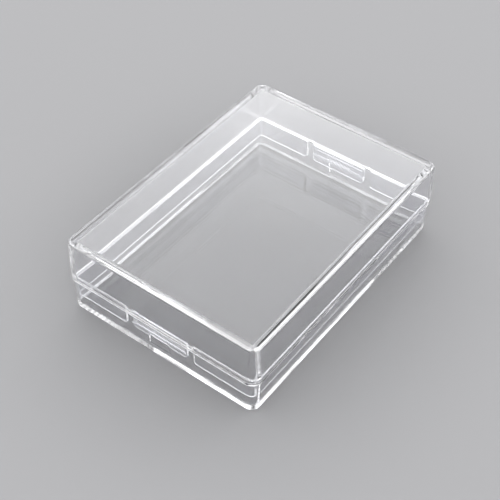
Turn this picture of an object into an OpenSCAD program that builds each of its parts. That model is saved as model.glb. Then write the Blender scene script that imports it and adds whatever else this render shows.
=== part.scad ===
// Clear snap-lid box that holds guitar picks: a shallow base tray, a deeper lift-off lid whose
// inner tongue drops inside the tray's wall, and a springy snap tab at each short end.
// The origin is on the underside at the centre of the footprint, and +X is the long way.

/* [Box] */
// Length of the lid's flat top, edge to edge
top_length = 90; // [80:1:110]
// Width of the lid's flat top, edge to edge
top_width = 64.7; // [50:0.1:80]
// Radius of the upright outer corners, at the top
corner_radius = 3; // [2.8:0.1:4]
// Slope of the moulded walls, in degrees
draft = 1.8; // [1:0.1:2]

/* [Lid] */
// Height of the lid above the parting line
lid_height = 13.9; // [10:0.1:18]
// Thickness of the lid's flat top
lid_top = 1.3; // [1.2:0.1:2]
// Radius of the lid's outer top edge
top_edge_radius = 1; // [0.4:0.1:1.2]
// Thickness of the lid's wall at the parting line
lid_wall = 2.1; // [2:0.1:2.4]
// Radius inside the lid, where its wall meets its top
lid_inner_radius = 0.45; // [0.2:0.05:0.45]
// Slope of the lid's inner faces, in degrees, which thickens its wall towards the top
cavity_draft = 4; // [1:0.5:4]
// Radius of the lid's lower outer edge
lid_edge_radius = 0.1; // [0.05:0.05:0.4]

/* [Base tray] */
// Height of the tray, from the underside to the parting line
tray_height = 11.4; // [10:0.1:14]
// Thickness of the tray's floor
floor_thickness = 1.3; // [1.2:0.1:2]
// Thickness of the tray's wall
tray_wall = 1.25; // [1.2:0.05:1.3]
// Radius of the tray's outer rim
rim_radius = 0.5; // [0.2:0.1:0.6]
// How far the tray's wall stands back from the lid's wall at the parting line
rim_setback = 0.45; // [0.4:0.05:0.5]
// Radius inside the tray, where its wall meets its floor
tray_inner_radius = 0.9; // [0.5:0.1:1.2]
// Radius of the tray's outer bottom edge
bottom_edge_radius = 0.3; // [0.2:0.1:0.8]

/* [Tongue and snap tabs] */
// How far the lid's tongue reaches below the parting line
tongue_depth = 6.2; // [5.5:0.1:6.5]
// Thickness of the tongue at the parting line
tongue_wall = 1.1; // [1:0.1:1.2]
// Slope of the tongue's inner face, in degrees
tongue_draft = 1; // [0.5:0.1:1.2]
// Height of the ledge that joins the tongue to the lid's wall, above the parting line
ledge_rise = 0.75; // [0.6:0.05:0.9]
// Gap between the tongue and the tray's wall
fit_gap = 0.1; // [0.08:0.01:0.12]
// Half the width of a snap tab
tab_half_width = 9.4; // [8:0.1:10]
// Width of the slot at each side of a snap tab
slot_width = 2.4; // [2:0.1:3]
// How far a slot rises above the parting line
slot_rise = 1; // [0.5:0.1:1.2]
// How far a snap tab reaches below the parting line
tab_depth = 6; // [5.5:0.1:6.2]
// How far a tab's outer face stands back from the tongue's outer face
tab_setback = 0.2; // [0.2:0.05:0.3]
// Height of the catch bead's middle below the parting line
bead_drop = 4; // [3.8:0.1:4.2]
// Radius of the catch bead
bead_radius = 0.45; // [0.4:0.01:0.45]
// How far the bead's crest stands past the tongue's outer face
bead_crest = 0.05; // [0:0.01:0.06]
// Number of grip ribs in the recess of a tab
rib_count = 7; // [3:2:9]

/* [Hidden] */
clear_plastic = [0.86, 0.88, 0.93, 0.45];
tab_plastic = [0.78, 0.82, 0.93, 0.6];
$fn = 96;

// Shared levels and the corner axes that every outer wall turns round
parting = tray_height;
total_height = tray_height + lid_height;
axis_x = top_length / 2 - corner_radius;
axis_y = top_width / 2 - corner_radius;
slope = tan(draft);
cavity_slope = tan(cavity_draft);
tongue_slope = tan(tongue_draft);
ledge_level = parting + ledge_rise;
tongue_tip = parting - tongue_depth;
margin = 1;

// Radii about the corner axes, at the named levels
lid_rim_r = corner_radius + lid_height * slope;
tray_rim_r = lid_rim_r - rim_setback;
tray_foot_r = tray_rim_r - tray_height * slope;
tray_inside_rim_r = tray_rim_r - tray_wall;
tray_inside_floor_r = tray_inside_rim_r - (tray_height - floor_thickness) * slope;
tongue_root_r = tray_inside_rim_r - fit_gap;
tongue_tip_r = tongue_root_r - tongue_depth * slope;
tab_tip_r = tongue_root_r - tab_depth * slope;

cavity_ledge_r = lid_rim_r - lid_wall - ledge_rise * cavity_slope;
cavity_top_r = lid_rim_r - lid_wall - (lid_height - lid_top) * cavity_slope;
tongue_inside_rim_r = tongue_root_r - tongue_wall;
tongue_inside_top_r = tongue_inside_rim_r - (ledge_rise + margin) * tongue_slope;
tongue_inside_tip_r = tongue_inside_rim_r + (tongue_depth + margin) * tongue_slope;

// Faces of the tongue at the short ends, measured from the box's middle
tongue_outer_x = axis_x + tongue_root_r;
tongue_inner_x = axis_x + tongue_inside_rim_r;
tab_inner_tip_x = tongue_inner_x + tab_depth * tongue_slope;

// Snap tab details
root_gap = 0.1;
slot_r = slot_width / 2;
gap_half_width = tab_half_width + slot_width;
tongue_corner_r = 1;
tab_corner_r = 1.3;
bead_end_gap = 0.3;
bead_half_length = tab_half_width - bead_end_gap;
bead_x = tongue_outer_x - bead_drop * slope + bead_crest - bead_radius;
groove_depth = 0.3;
groove_end_gap = 0.4;
groove_half_length = tab_half_width + groove_end_gap;
recess_half_width = 8.6;
recess_top = 1.2;
recess_bottom = 3.3;
recess_depth = 0.45;
rib_pitch = 1.3;
rib_width = 0.76;

// Shallow rectangle inside the tray wall, below each tab
pad_half_width = 3.6;
pad_top = 4.6;
pad_bottom = 8.3;
pad_depth = 0.5;

// Half section of a drafted block, from its corner axis outwards, with either edge rounded
module half_section(r_low, r_high, z_low, z_high, round_low, round_high) {
    lean = atan((r_high - r_low) / (z_high - z_low));
    low_x = r_low + round_low * tan(lean) - round_low / cos(lean);
    low_z = z_low + round_low;
    high_x = r_high - round_high * tan(lean) - round_high / cos(lean);
    high_z = z_high - round_high;
    intersection() {
        union() {
            polygon([
                [0, z_low],
                [low_x, z_low],
                [low_x + round_low * cos(lean), low_z - round_low * sin(lean)],
                [high_x + round_high * cos(lean), high_z - round_high * sin(lean)],
                [high_x, z_high],
                [0, z_high]
            ]);
            if (round_low > 0)
                translate([low_x, low_z])
                    circle(r = round_low);
            if (round_high > 0)
                translate([high_x, high_z])
                    circle(r = round_high);
        }
        translate([0, z_low])
            square([max(r_low, r_high) + margin, z_high - z_low]);
    }
}

// Rounded rectangular block whose section is swept round four corner axes and along four sides
module moulded_block(half_x, half_y, r_low, r_high, z_low, z_high, round_low = 0, round_high = 0) {
    module section()
        half_section(r_low, r_high, z_low, z_high, round_low, round_high);
    for (mirror_x = [0, 1], mirror_y = [0, 1])
        mirror([mirror_x, 0, 0])
            mirror([0, mirror_y, 0])
                translate([half_x, half_y, 0])
                    rotate_extrude(angle = 90)
                        section();
    for (turn = [0, 180]) {
        rotate([0, 0, turn])
            translate([half_x, 0, 0])
                rotate([90, 0, 0])
                    linear_extrude(2 * half_y, center = true)
                        section();
        rotate([0, 0, turn])
            translate([0, half_y, 0])
                rotate([90, 0, 90])
                    linear_extrude(2 * half_x, center = true)
                        section();
    }
    translate([-half_x, -half_y, z_low])
        cube([2 * half_x, 2 * half_y, z_high - z_low]);
}

// Draws an outline seen from a short end, y across and z up, through the wall from x_low to x_high
module through_end_wall(x_low, x_high)
    translate([x_low, 0, 0])
        rotate([90, 0, 90])
            linear_extrude(x_high - x_low)
                children();

// Repeats its children, drawn at the +X end, at both ends
module both_ends()
    for (turn = [0, 180])
        rotate([0, 0, turn])
            children();

// Rounded bar along Y with ball ends
module bead(half_length, radius) {
    rotate([90, 0, 0])
        cylinder(r = radius, h = 2 * (half_length - radius), center = true);
    for (side = [-1, 1])
        translate([0, side * (half_length - radius), 0])
            sphere(r = radius);
}

// Opening in the tongue that leaves room for a tab and its two slots
module tongue_gap_outline() {
    translate([-gap_half_width, tongue_tip - margin])
        square([2 * gap_half_width, tongue_depth + margin]);
    for (side = [-1, 1]) {
        translate([side * (tab_half_width + slot_r), parting + slot_rise - slot_r])
            circle(r = slot_r);
        translate([side * gap_half_width, tongue_tip])
            difference() {
                translate([-tongue_corner_r, -tongue_corner_r])
                    square(2 * tongue_corner_r);
                translate([side * tongue_corner_r, tongue_corner_r])
                    circle(r = tongue_corner_r);
                translate([min(0, -side) * 2 * tongue_corner_r, tongue_corner_r])
                    square([2 * tongue_corner_r, tongue_corner_r]);
            }
    }
}

// Outline of a tab, with its lower corners rounded
module tab_outline() {
    tab_bottom = parting - tab_depth;
    translate([-tab_half_width, tab_bottom + tab_corner_r])
        square([2 * tab_half_width, tab_depth - tab_corner_r - root_gap]);
    translate([-tab_half_width + tab_corner_r, tab_bottom])
        square([2 * (tab_half_width - tab_corner_r), tab_corner_r + margin]);
    for (side = [-1, 1])
        translate([side * (tab_half_width - tab_corner_r), tab_bottom + tab_corner_r])
            circle(r = tab_corner_r);
}

// Outline of the shallow recess in a tab's outer face, open round its grip ribs
module recess_outline() {
    first_rib = -(rib_count - 1) / 2 * rib_pitch;
    difference() {
        translate([-recess_half_width, parting - recess_bottom])
            square([2 * recess_half_width, recess_bottom - recess_top]);
        for (i = [0 : rib_count - 1])
            translate([first_rib + i * rib_pitch - rib_width / 2, parting - recess_bottom - margin])
                square([rib_width, tab_depth]);
    }
}

// One snap tab at the +X end, in its rest place
module snap_tab() {
    bottom = parting - tab_depth;
    recess_floor_x = tongue_outer_x - tab_setback - recess_depth - recess_top * slope;
    difference() {
        union() {
            intersection() {
                rotate([90, 0, 0])
                    linear_extrude(2 * tab_half_width, center = true)
                        polygon([
                            [tab_inner_tip_x, bottom],
                            [axis_x + tab_tip_r - tab_setback, bottom],
                            [tongue_outer_x - tab_setback, parting],
                            [tongue_inner_x, parting]
                        ]);
                through_end_wall(axis_x - margin, axis_x + corner_radius)
                    tab_outline();
            }
            translate([bead_x, 0, parting - bead_drop])
                bead(bead_half_length, bead_radius);
        }
        through_end_wall(recess_floor_x, axis_x + corner_radius)
            recess_outline();
    }
}

module base_tray()
    color(clear_plastic)
        difference() {
            moulded_block(
                axis_x, axis_y, tray_foot_r, tray_rim_r, 0, parting,
                round_low = bottom_edge_radius, round_high = rim_radius
            );
            moulded_block(
                axis_x, axis_y,
                tray_inside_floor_r, tray_inside_rim_r + margin * slope,
                floor_thickness, parting + margin,
                round_low = tray_inner_radius
            );
            both_ends() {
                translate([bead_x + groove_depth, 0, parting - bead_drop])
                    bead(groove_half_length, bead_radius);
                pad_outer_x = axis_x + tray_inside_rim_r - pad_bottom * slope + pad_depth;
                translate([pad_outer_x - pad_depth - margin, -pad_half_width, parting - pad_bottom])
                    cube([pad_depth + margin, 2 * pad_half_width, pad_bottom - pad_top]);
            }
        }

module lid()
    color(clear_plastic)
        difference() {
            union() {
                moulded_block(
                    axis_x, axis_y, lid_rim_r, corner_radius, parting, total_height,
                    round_low = lid_edge_radius, round_high = top_edge_radius
                );
                moulded_block(axis_x, axis_y, tongue_tip_r, tongue_root_r, tongue_tip, parting);
            }
            moulded_block(
                axis_x, axis_y, cavity_ledge_r, cavity_top_r, ledge_level, total_height - lid_top,
                round_high = lid_inner_radius
            );
            moulded_block(
                axis_x, axis_y, tongue_inside_tip_r, tongue_inside_top_r,
                tongue_tip - margin, ledge_level + margin
            );
            both_ends()
                through_end_wall(axis_x - margin, tongue_outer_x)
                    tongue_gap_outline();
        }

module left_snap_tab()
    color(tab_plastic)
        rotate([0, 0, 180])
            snap_tab();

module right_snap_tab()
    color(tab_plastic)
        snap_tab();

base_tray();
lid();
left_snap_tab();
right_snap_tab();
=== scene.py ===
"""The look of a clear snap-lid pick box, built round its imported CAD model.

Lengths below are in millimetres, and MM turns them into Blender's metres. The overall sizes and the
levels of the parting line come from the CAD nodes' boxes.
"""
import math

import bmesh
import bpy
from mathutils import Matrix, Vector


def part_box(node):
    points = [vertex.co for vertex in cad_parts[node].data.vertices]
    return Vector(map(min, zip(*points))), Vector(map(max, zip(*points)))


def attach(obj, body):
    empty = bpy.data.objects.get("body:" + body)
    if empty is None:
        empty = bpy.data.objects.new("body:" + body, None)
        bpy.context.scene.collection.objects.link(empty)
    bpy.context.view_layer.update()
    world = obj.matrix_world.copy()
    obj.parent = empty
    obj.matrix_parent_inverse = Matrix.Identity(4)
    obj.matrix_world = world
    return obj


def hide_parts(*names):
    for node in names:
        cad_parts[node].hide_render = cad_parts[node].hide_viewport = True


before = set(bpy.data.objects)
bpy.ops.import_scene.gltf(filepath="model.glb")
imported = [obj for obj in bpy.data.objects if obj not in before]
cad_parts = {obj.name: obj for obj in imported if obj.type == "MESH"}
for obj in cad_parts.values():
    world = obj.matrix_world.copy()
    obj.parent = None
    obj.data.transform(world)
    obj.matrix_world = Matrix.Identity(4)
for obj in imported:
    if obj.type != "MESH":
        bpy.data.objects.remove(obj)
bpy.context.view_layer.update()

MM = 0.001


# ---------------------------------------------------------------- sizes
def node_box_mm(node):
    """Lowest and highest corners of a CAD node, in millimetres."""
    low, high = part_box(node)
    return low / MM, high / MM


TRAY_HIGH = node_box_mm("base_tray")[1]
LID_LOW, LID_HIGH = node_box_mm("lid")
TAB_LOW, TAB_HIGH = node_box_mm("right_snap_tab")

# Levels, mould drafts and the radius of an upright corner at the top
PARTING = TRAY_HIGH.z
TOTAL_HEIGHT = LID_HIGH.z
SLOPE = math.tan(math.radians(1.8))
CAVITY_SLOPE = math.tan(math.radians(4.0))
TONGUE_SLOPE = math.tan(math.radians(1.0))
CORNER_R = 3.0

# Corner radius at the lid's lower edge, and how far the corners' upright axes are from the middle
LID_RIM_R = CORNER_R + (TOTAL_HEIGHT - PARTING) * SLOPE
AXIS_X = LID_HIGH.x - LID_RIM_R
AXIS_Y = LID_HIGH.y - LID_RIM_R

# Base tray
FLOOR = 1.3
FLOOR_R = 0.9
FOOT_R = 0.3
TRAY_WALL = 1.25
RIM_SETBACK = LID_HIGH.x - TRAY_HIGH.x
RIM_R = 0.5

# Lid
LID_TOP = 1.3
LID_WALL = 2.1
LID_EDGE = 0.1
TOP_R = 1.0
INNER_R = 0.45

# Tongue, and the ledge that joins it to the lid's wall
FIT_GAP = 0.1
LEDGE_RISE = 0.75
LEDGE_EDGE = 0.12
TONGUE_TIP = LID_LOW.z
TONGUE_WALL = 1.1
TIP_INNER_R = 0.2
TIP_OUTER_R = 0.15
TONGUE_CORNER_R = 1.0
TONGUE_ROOT = RIM_SETBACK + TRAY_WALL + FIT_GAP

# Snap tabs and the slots beside them
TAB_HALF = TAB_HIGH.y
TAB_TIP = TAB_LOW.z
TAB_SETBACK = 0.2
TAB_CORNER_R = 1.3
TAB_EDGE = 0.12
ROOT_CUT = 0.02
ROOT_LAP = 0.05
SLOT_WIDTH = 2.4
SLOT_RISE = 1.0
SLOT_MOUTH = 0.25

# Catch bead on a tab and its groove in the tray, by depth below the parting line
BEAD_DROP = 4.0
BEAD_R = 0.45
BEAD_CREST = 0.05
BEAD_END_GAP = 0.3
GROOVE_DEPTH = 0.3
GROOVE_END_GAP = 0.4

# Recess with grip ribs in a tab's outer face, by depths below the parting line
RECESS_HALF = 8.6
RECESS_TOP = 1.2
RECESS_BOTTOM = 3.3
RECESS_DEPTH = 0.45
RIB_COUNT = 7
RIB_PITCH = 1.3
RIB_HALF_WIDTH = 0.38
RIB_END_GAP = 0.3
RIB_EDGE = 0.25

# Shallow rectangle in the tray's wall under each tab
PAD_HALF = 3.6
PAD_TOP = 4.6
PAD_BOTTOM = 8.3
PAD_DEPTH = 0.5

# Corners and mouth of every pocket
POCKET_R = 0.4
POCKET_MOUTH = 0.05

# Margins: a cutter's reach into open space and past a tongue, and a rib's top under its tab's face
CLEAR = 1.0
GAP_OVERCUT = 0.05
RIB_DROP = 0.02

# How far past an edge the rings lie that keep flat faces' shading flat, and a ring's smallest corner
HOLD = 0.3
SHORT_HOLD = 0.2
LEAST_CORNER_R = 0.15

# Detail of the mesh, the angle from which an edge is sharp, and the sizes of slivers that are merged
CORNER_STEPS = 14
BAR_STEPS = 24
BAR_TIP_ANGLE = 5
BAR_ANGLES = [math.radians(360 * step / BAR_STEPS) for step in range(BAR_STEPS)]
SHARP_ANGLE = math.radians(32)
MERGE = 0.002
COLLAPSE = 0.001

# Clear polystyrene, with its noise scales in waves per metre
REFRACTIVE_INDEX = 1.59
TINT_SCALE = 30
POLISH_SCALE = 400
MOST_ROUGH = 0.012
WAVE_SCALE = 60
WAVE_STRENGTH = 0.25
WAVE_HEIGHT = 0.1
TRAY_TINTS = ((0.985, 0.985, 0.995, 1), (0.97, 0.975, 1.0, 1))
LID_TINTS = ((0.99, 0.99, 0.995, 1), (0.975, 0.98, 1.0, 1))
TAB_TINTS = ((0.99, 0.99, 0.995, 1), (0.965, 0.97, 1.0, 1))

# Camera, with its turn in degrees and its lens in millimetres of focal length
CAMERA_PLACE = (-184.3, -131.04, 236.56)
CAMERA_TURN = (44.36, -0.796, -53.248)
CAMERA_LENS = 79.16

# Floor, and the light tent: its brightness by the height of the direction looked in, 0 to 1
FLOOR_SIZE = 3000
FLOOR_DROP = 0.2
FLOOR_ROUGHNESS = 0.7
FLOOR_COLOUR = (0.24, 0.24, 0.247, 1)
TENT_STOPS = ((0.0, 1.0), (0.3, 1.2), (0.5, 3.6), (0.7, 1.8), (1.0, 1.2))
LIGHT_BOUNCES = 64


# ---------------------------------------------------------------- mesh helpers
def rounded_ring(half_x, half_y, radius, z):
    """Points of a rounded rectangle at height z, anticlockwise, the same number for every ring."""
    points = []
    corners = [(1, 1, 0), (-1, 1, 90), (-1, -1, 180), (1, -1, 270)]
    for sign_x, sign_y, start in corners:
        centre_x = sign_x * (half_x - radius)
        centre_y = sign_y * (half_y - radius)
        for step in range(CORNER_STEPS + 1):
            angle = math.radians(start + 90 * step / CORNER_STEPS)
            points.append((centre_x + radius * math.cos(angle), centre_y + radius * math.sin(angle), z))
    return points


def loft(bm, rings):
    """Joins rings of equal length into one closed skin, with a flat cap at each end."""
    rows = [[bm.verts.new(Vector(p) * MM) for p in ring] for ring in rings]
    count = len(rows[0])
    for low, high in zip(rows, rows[1:]):
        for i in range(count):
            j = (i + 1) % count
            bm.faces.new((low[i], low[j], high[j], high[i]))
    bm.faces.new(list(reversed(rows[0])))
    bm.faces.new(rows[-1])


def arc(centre, radius, start, end, steps):
    """Points on an arc in a section, from the start angle to the end angle in degrees."""
    points = []
    for step in range(steps + 1):
        angle = math.radians(start + (end - start) * step / steps)
        points.append((centre[0] + radius * math.cos(angle), centre[1] + radius * math.sin(angle)))
    return points


def mesh_object(name, bm):
    """Wraps a bmesh as an object with outward normals."""
    bmesh.ops.recalc_face_normals(bm, faces=bm.faces[:])
    mesh = bpy.data.meshes.new(name)
    bm.to_mesh(mesh)
    bm.free()
    obj = bpy.data.objects.new(name, mesh)
    bpy.context.scene.collection.objects.link(obj)
    return obj


def loft_object(name, rings):
    """A closed object whose skin runs through the rings."""
    bm = bmesh.new()
    loft(bm, rings)
    return mesh_object(name, bm)


def combine(obj, other, operation):
    """Applies an exact boolean to obj with other, and removes other."""
    modifier = obj.modifiers.new("cut", "BOOLEAN")
    modifier.object = other
    modifier.operation = operation
    modifier.solver = "EXACT"
    depsgraph = bpy.context.evaluated_depsgraph_get()
    depsgraph.update()
    mesh = bpy.data.meshes.new_from_object(obj.evaluated_get(depsgraph))
    obj.modifiers.clear()
    old = obj.data
    obj.data = mesh
    bpy.data.meshes.remove(old)
    bpy.data.objects.remove(other)


def finish_surface(obj):
    """Smooth shading with crisp edges, and normals that keep the flat faces flat."""
    bm = bmesh.new()
    bm.from_mesh(obj.data)
    bmesh.ops.remove_doubles(bm, verts=bm.verts[:], dist=MERGE * MM)
    bmesh.ops.dissolve_degenerate(bm, edges=bm.edges[:], dist=COLLAPSE * MM)
    bmesh.ops.triangulate(bm, faces=[f for f in bm.faces if len(f.verts) > 4])
    for face in bm.faces:
        face.smooth = True
    for edge in bm.edges:
        edge.smooth = len(edge.link_faces) != 2 or edge.calc_face_angle(0) < SHARP_ANGLE
    bm.to_mesh(obj.data)
    bm.free()
    weighted = obj.modifiers.new("weighted", "WEIGHTED_NORMAL")
    weighted.keep_sharp = True
    weighted.weight = 100


# ---------------------------------------------------------------- sections
def band(start, end, hold=HOLD):
    """Two heights just inside a straight stretch, which keep its shading flat."""
    step = hold if end > start else -hold
    return (start + step, end - step)


def rings_round(edge_r, outline):
    """Rings that follow a section's outline (offset from the edge, height) all round the box."""
    rings = []
    for offset, z in outline:
        radius = edge_r + offset
        rings.append(rounded_ring(AXIS_X + radius, AXIS_Y + radius, max(radius, LEAST_CORNER_R), z))
    return rings


def tray_rings():
    """Rings of the base tray, from the middle of the underside, over the rim, to the floor."""
    def outer(z):
        return -(PARTING - z) * SLOPE

    def inner(z):
        return -TRAY_WALL - (PARTING - z) * SLOPE

    foot = (outer(FOOT_R) - FOOT_R, FOOT_R)
    corner = (inner(FLOOR + FLOOR_R) - FLOOR_R, FLOOR + FLOOR_R)
    outline = [(foot[0] - HOLD, 0)]
    outline += arc(foot, FOOT_R, -90, 0, steps=8)
    outline += [(outer(z), z) for z in band(FOOT_R, PARTING - RIM_R)]
    outline += arc((outer(PARTING) - RIM_R, PARTING - RIM_R), RIM_R, 0, 90, steps=6)
    outline += arc((inner(PARTING) + RIM_R, PARTING - RIM_R), RIM_R, 90, 180, steps=4)
    outline += [(inner(z), z) for z in band(PARTING - RIM_R, FLOOR + FLOOR_R)]
    outline += arc(corner, FLOOR_R, 0, -90, steps=8)
    outline += [(corner[0] - HOLD, FLOOR)]
    return rings_round(LID_RIM_R - RIM_SETBACK, outline)


def lid_rings():
    """Rings of the lid, from the middle of the underside of its top, round the tongue, to the top."""
    under_z = TOTAL_HEIGHT - LID_TOP
    ledge_z = PARTING + LEDGE_RISE

    def outer(z):
        return -(z - PARTING) * SLOPE

    def inner(z):
        return -LID_WALL - (z - PARTING) * CAVITY_SLOPE

    def tongue_outer(z):
        return -TONGUE_ROOT - (PARTING - z) * SLOPE

    def tongue_inner(z):
        return -TONGUE_ROOT - TONGUE_WALL - (z - PARTING) * TONGUE_SLOPE

    tip_inner = (tongue_inner(TONGUE_TIP) + TIP_INNER_R, TONGUE_TIP + TIP_INNER_R)
    tip_outer = (tongue_outer(TONGUE_TIP) - TIP_OUTER_R, TONGUE_TIP + TIP_OUTER_R)
    ledge = (tongue_inner(ledge_z) + LEDGE_EDGE, ledge_z - LEDGE_EDGE)
    corner = (inner(under_z - INNER_R) - INNER_R, under_z - INNER_R)
    inside = [(corner[0] - HOLD, under_z)]
    inside += arc(corner, INNER_R, 90, 0, steps=10)
    inside += [(inner(z), z) for z in band(under_z - INNER_R, ledge_z, SHORT_HOLD)]
    inside += [(inner(ledge_z), ledge_z)]
    inside += arc(ledge, LEDGE_EDGE, 90, 180, steps=4)
    inside += [(tongue_inner(z), z) for z in band(ledge_z - LEDGE_EDGE, TONGUE_TIP + TIP_INNER_R)]
    inside += arc(tip_inner, TIP_INNER_R, 180, 270, steps=6)
    outside = arc(tip_outer, TIP_OUTER_R, -90, 0, steps=4)
    outside += [(tongue_outer(z), z) for z in band(TONGUE_TIP + TIP_OUTER_R, PARTING)]
    outside += [(tongue_outer(PARTING), PARTING)]
    outside += [(-LID_EDGE - SHORT_HOLD, PARTING)]
    outside += arc((-LID_EDGE, PARTING + LID_EDGE), LID_EDGE, -90, 0, steps=4)
    outside += [(outer(z), z) for z in band(PARTING + LID_EDGE, TOTAL_HEIGHT - TOP_R)]
    corner = (outer(TOTAL_HEIGHT - TOP_R) - TOP_R, TOTAL_HEIGHT - TOP_R)
    outside += arc(corner, TOP_R, 0, 90, steps=8)
    outside += [(corner[0] - HOLD, TOTAL_HEIGHT)]
    return rings_round(LID_RIM_R, inside + outside)


# ---------------------------------------------------------------- snap tabs, at the +X end
def tongue_outer_x(z):
    """Outer face of the tongue's end wall, at height z."""
    return LID_HIGH.x - TONGUE_ROOT - max(PARTING - z, 0) * SLOPE


def tongue_inner_x(z):
    """Inner face of the tongue's end wall and of a tab, at height z."""
    return LID_HIGH.x - TONGUE_ROOT - TONGUE_WALL + (PARTING - z) * TONGUE_SLOPE


def tab_outer_x(z):
    """Outer face of a tab, at height z."""
    return tongue_outer_x(z) - TAB_SETBACK


def tray_inner_x(z):
    """Inner face of the tray's end wall, at height z."""
    return tongue_outer_x(z) + FIT_GAP


def quarter(radius, steps=4):
    """Depth and sideways growth at each step of a rounded mouth, from the face inwards."""
    pairs = []
    for step in range(steps + 1):
        angle = math.radians(90 * step / steps)
        pairs.append((radius * (1 - math.cos(angle)), radius * (1 - math.sin(angle))))
    return pairs


def mirrored(side):
    """A closed outline from its +Y side, whose points run from the bottom to the top."""
    return side + [(-y, z) for y, z in reversed(side)]


def gap_outline(grow):
    """Outline (y, z) of the opening in the tongue for a tab and its two slots."""
    slot_r = SLOT_WIDTH / 2
    slot_z = PARTING + SLOT_RISE - slot_r
    corner_y = TAB_HALF + SLOT_WIDTH + TONGUE_CORNER_R
    root = math.degrees(math.asin((PARTING + ROOT_CUT - slot_z) / (slot_r + grow)))
    side = [(corner_y, TONGUE_TIP - CLEAR)]
    side += arc((corner_y, TONGUE_TIP + TONGUE_CORNER_R), TONGUE_CORNER_R - grow, 270, 180, steps=6)
    side += arc((TAB_HALF + slot_r, slot_z), slot_r + grow, 0, 180 - root, steps=16)
    return mirrored(side)


def tab_outline(shrink):
    """Outline (y, z) of a tab, with its lower corners rounded."""
    radius = TAB_CORNER_R - shrink
    half = TAB_HALF - shrink
    side = arc((half - radius, TAB_TIP + shrink + radius), radius, 270, 360, steps=8)
    side += [(half, PARTING + ROOT_LAP)]
    return mirrored(side)


def gap_rings():
    """Cutter for the opening in the tongue, with its inner edges rounded."""
    def ring(grow, inward):
        return [(tongue_inner_x(z) + inward, y, z) for y, z in gap_outline(grow)]

    rings = [ring(SLOT_MOUTH, -CLEAR)]
    rings += [ring(grow, deep) for deep, grow in quarter(SLOT_MOUTH)]
    rings += [[(tongue_outer_x(z) + GAP_OVERCUT, y, z) for y, z in gap_outline(0)]]
    return rings


def tab_rings():
    """A tab's plate, from its inner face to its outer face, with its edges rounded."""
    rings = []
    for deep, shrink in quarter(TAB_EDGE):
        rings += [[(tongue_inner_x(z) + deep, y, z) for y, z in tab_outline(shrink)]]
    for deep, shrink in reversed(quarter(TAB_EDGE)):
        rings += [[(tab_outer_x(z) - deep, y, z) for y, z in tab_outline(shrink)]]
    return rings


def pocket_rings(half_y, top, bottom, face_x, into, depth):
    """Cutter for a shallow pocket with a rounded mouth, between two depths below the parting line."""
    middle = PARTING - (top + bottom) / 2
    half_z = (bottom - top) / 2

    def ring(grow, deep):
        outline = rounded_ring(half_y + grow, half_z + grow, POCKET_R + grow, 0)
        return [(face_x(middle + b) + into * deep, a, middle + b) for a, b, _ in outline]

    rings = [ring(POCKET_MOUTH, -CLEAR)]
    rings += [ring(grow, deep) for deep, grow in quarter(POCKET_MOUTH)]
    rings += [ring(0, depth)]
    return rings


def rib_rings(across):
    """One upright grip rib, from under the recess's floor to just under the tab's outer face."""
    middle = PARTING - (RECESS_TOP + RECESS_BOTTOM) / 2
    half_z = (RECESS_BOTTOM - RECESS_TOP) / 2 - RIB_END_GAP

    def ring(shrink, deep):
        outline = rounded_ring(RIB_HALF_WIDTH - shrink, half_z - shrink, RIB_HALF_WIDTH - shrink, 0)
        return [(tab_outer_x(middle + b) - deep, across + a, middle + b) for a, b, _ in outline]

    rings = [ring(0, RECESS_DEPTH + RIB_EDGE)]
    rings += [ring(shrink, deep + RIB_DROP) for deep, shrink in reversed(quarter(RIB_EDGE))]
    return rings


def bar_rings(half_length, radius, out):
    """A bar along Y with ball ends, whose crest stands out from the tongue's outer face."""
    z = PARTING - BEAD_DROP
    x = tongue_outer_x(z) + out - radius
    profile = arc((half_length - radius, 0), radius, BAR_TIP_ANGLE, 90, steps=8)
    profile = [(-y, r) for y, r in profile] + list(reversed(profile))
    rings = []
    for y, r in profile:
        rings.append([(x + r * math.cos(t), y, z + r * math.sin(t)) for t in BAR_ANGLES])
    return rings


def at_end(rings, side):
    """Rings made at the +X end, or turned round to the -X end."""
    return [[(side * x, side * y, z) for x, y, z in ring] for ring in rings]


def build_tray():
    """The tray with the bead's groove and the shallow rectangle in each short end."""
    tray = loft_object("tray_shell", tray_rings())
    for side in (1, -1):
        groove = bar_rings(TAB_HALF + GROOVE_END_GAP, BEAD_R, BEAD_CREST + GROOVE_DEPTH)
        combine(tray, loft_object("groove", at_end(groove, side)), "DIFFERENCE")
        pad = pocket_rings(PAD_HALF, PAD_TOP, PAD_BOTTOM, tray_inner_x, 1, PAD_DEPTH)
        combine(tray, loft_object("pad", at_end(pad, side)), "DIFFERENCE")
    return tray


def build_lid():
    """The lid with the opening for a tab in each short end of its tongue."""
    lid = loft_object("lid_shell", lid_rings())
    for side in (1, -1):
        combine(lid, loft_object("gap", at_end(gap_rings(), side)), "DIFFERENCE")
    return lid


def build_tab(name, side):
    """One snap tab with its bead, recess and grip ribs, at the +X end (1) or the -X end (-1)."""
    tab = loft_object(name, at_end(tab_rings(), side))
    bead = bar_rings(TAB_HALF - BEAD_END_GAP, BEAD_R, BEAD_CREST)
    combine(tab, loft_object("bead", at_end(bead, side)), "UNION")
    recess = pocket_rings(RECESS_HALF, RECESS_TOP, RECESS_BOTTOM, tab_outer_x, -1, RECESS_DEPTH)
    combine(tab, loft_object("recess", at_end(recess, side)), "DIFFERENCE")
    bm = bmesh.new()
    for index in range(RIB_COUNT):
        loft(bm, at_end(rib_rings((index - (RIB_COUNT - 1) / 2) * RIB_PITCH), side))
    combine(tab, mesh_object("ribs", bm), "UNION")
    return tab


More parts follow.
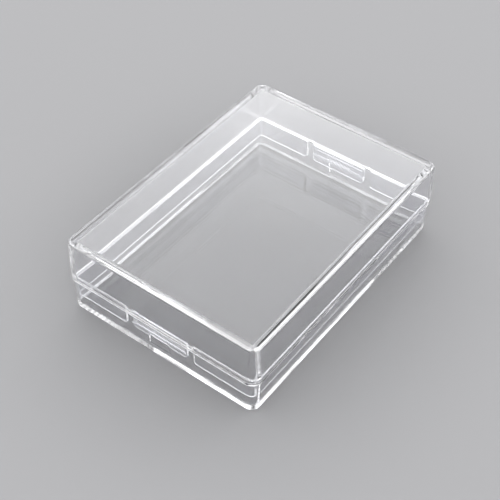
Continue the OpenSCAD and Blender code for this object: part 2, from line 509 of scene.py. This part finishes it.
# ---------------------------------------------------------------- material
def noise(tree, scale, detail):
    """A noise texture in the object's own space, with its scale in waves per metre."""
    place = tree.nodes.new("ShaderNodeTexCoord")
    texture = tree.nodes.new("ShaderNodeTexNoise")
    texture.inputs["Scale"].default_value = scale
    texture.inputs["Detail"].default_value = detail
    tree.links.new(place.outputs["Object"], texture.inputs["Vector"])
    return texture.outputs["Fac"]


def clear_plastic(name, tints):
    """Clear moulded polystyrene: a faint drift in tint and polish, and the soft waves of the mould."""
    material = bpy.data.materials.new(name)
    material.use_nodes = True
    tree = material.node_tree
    shader = tree.nodes["Principled BSDF"]
    shader.inputs["IOR"].default_value = REFRACTIVE_INDEX
    shader.inputs["Transmission Weight"].default_value = 1.0

    tint = tree.nodes.new("ShaderNodeValToRGB")
    for element, colour in zip(tint.color_ramp.elements, tints):
        element.color = colour
    tree.links.new(noise(tree, TINT_SCALE, detail=2), tint.inputs["Fac"])
    tree.links.new(tint.outputs["Color"], shader.inputs["Base Color"])

    polish = tree.nodes.new("ShaderNodeMapRange")
    polish.inputs["To Min"].default_value = 0.0
    polish.inputs["To Max"].default_value = MOST_ROUGH
    tree.links.new(noise(tree, POLISH_SCALE, detail=5), polish.inputs["Value"])
    tree.links.new(polish.outputs["Result"], shader.inputs["Roughness"])

    bump = tree.nodes.new("ShaderNodeBump")
    bump.inputs["Strength"].default_value = WAVE_STRENGTH
    bump.inputs["Distance"].default_value = WAVE_HEIGHT * MM
    tree.links.new(noise(tree, WAVE_SCALE, detail=1), bump.inputs["Height"])
    tree.links.new(bump.outputs["Normal"], shader.inputs["Normal"])
    return material


# ---------------------------------------------------------------- camera and stage
def place_camera():
    """The main camera, above and beyond the corner between the -X and -Y sides."""
    data = bpy.data.cameras.new("camera")
    data.lens = CAMERA_LENS
    camera = bpy.data.objects.new("camera", data)
    bpy.context.scene.collection.objects.link(camera)
    camera.location = Vector(CAMERA_PLACE) * MM
    camera.rotation_euler = [math.radians(angle) for angle in CAMERA_TURN]
    bpy.context.scene.camera = camera


def place_floor():
    """A plain pale floor just under the box."""
    bm = bmesh.new()
    bmesh.ops.create_grid(bm, x_segments=1, y_segments=1, size=FLOOR_SIZE * MM)
    floor = mesh_object("floor", bm)
    floor.location.z = -FLOOR_DROP * MM
    material = bpy.data.materials.new("floor")
    material.use_nodes = True
    shader = material.node_tree.nodes["Principled BSDF"]
    shader.inputs["Base Color"].default_value = FLOOR_COLOUR
    shader.inputs["Roughness"].default_value = FLOOR_ROUGHNESS
    floor.data.materials.append(material)


def place_world():
    """Bright walls round a dimmer ceiling and horizon, as a light tent gives."""
    world = bpy.data.worlds.new("world")
    world.use_nodes = True
    tree = world.node_tree
    coordinates = tree.nodes.new("ShaderNodeTexCoord")
    split = tree.nodes.new("ShaderNodeSeparateXYZ")
    ramp = tree.nodes.new("ShaderNodeValToRGB")
    tree.links.new(coordinates.outputs["Generated"], split.inputs["Vector"])
    tree.links.new(split.outputs["Z"], ramp.inputs["Fac"])
    tree.links.new(ramp.outputs["Color"], tree.nodes["Background"].inputs["Color"])
    elements = ramp.color_ramp.elements
    for element, (position, level) in zip(elements, (TENT_STOPS[0], TENT_STOPS[-1])):
        element.position = position
        element.color = (level, level, level, 1)
    for position, level in TENT_STOPS[1:-1]:
        elements.new(position).color = (level, level, level, 1)
    bpy.context.scene.world = world


def set_light_paths():
    """Lets light travel far enough inside the clear plastic."""
    cycles = bpy.context.scene.cycles
    cycles.max_bounces = LIGHT_BOUNCES
    cycles.transmission_bounces = LIGHT_BOUNCES
    cycles.glossy_bounces = LIGHT_BOUNCES


# ---------------------------------------------------------------- the scene
place_camera()
place_floor()
place_world()
set_light_paths()
bpy.context.scene.view_settings.view_transform = "Standard"

tray_plastic = clear_plastic("tray_plastic", TRAY_TINTS)
lid_plastic = clear_plastic("lid_plastic", LID_TINTS)
tab_plastic = clear_plastic("tab_plastic", TAB_TINTS)
PIECES = (
    (build_tray(), tray_plastic, "base", "base_tray", "clear_tray"),
    (build_lid(), lid_plastic, "lid", "lid", "clear_lid"),
    (build_tab("left_tab_plate", -1), tab_plastic, "left_tab", "left_snap_tab", "clear_lid"),
    (build_tab("right_tab_plate", 1), tab_plastic, "right_tab", "right_snap_tab", "clear_lid"),
)
for piece, plastic, body, node, slot in PIECES:
    finish_surface(piece)
    piece.data.materials.append(plastic)
    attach(piece, body)
    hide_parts(node)
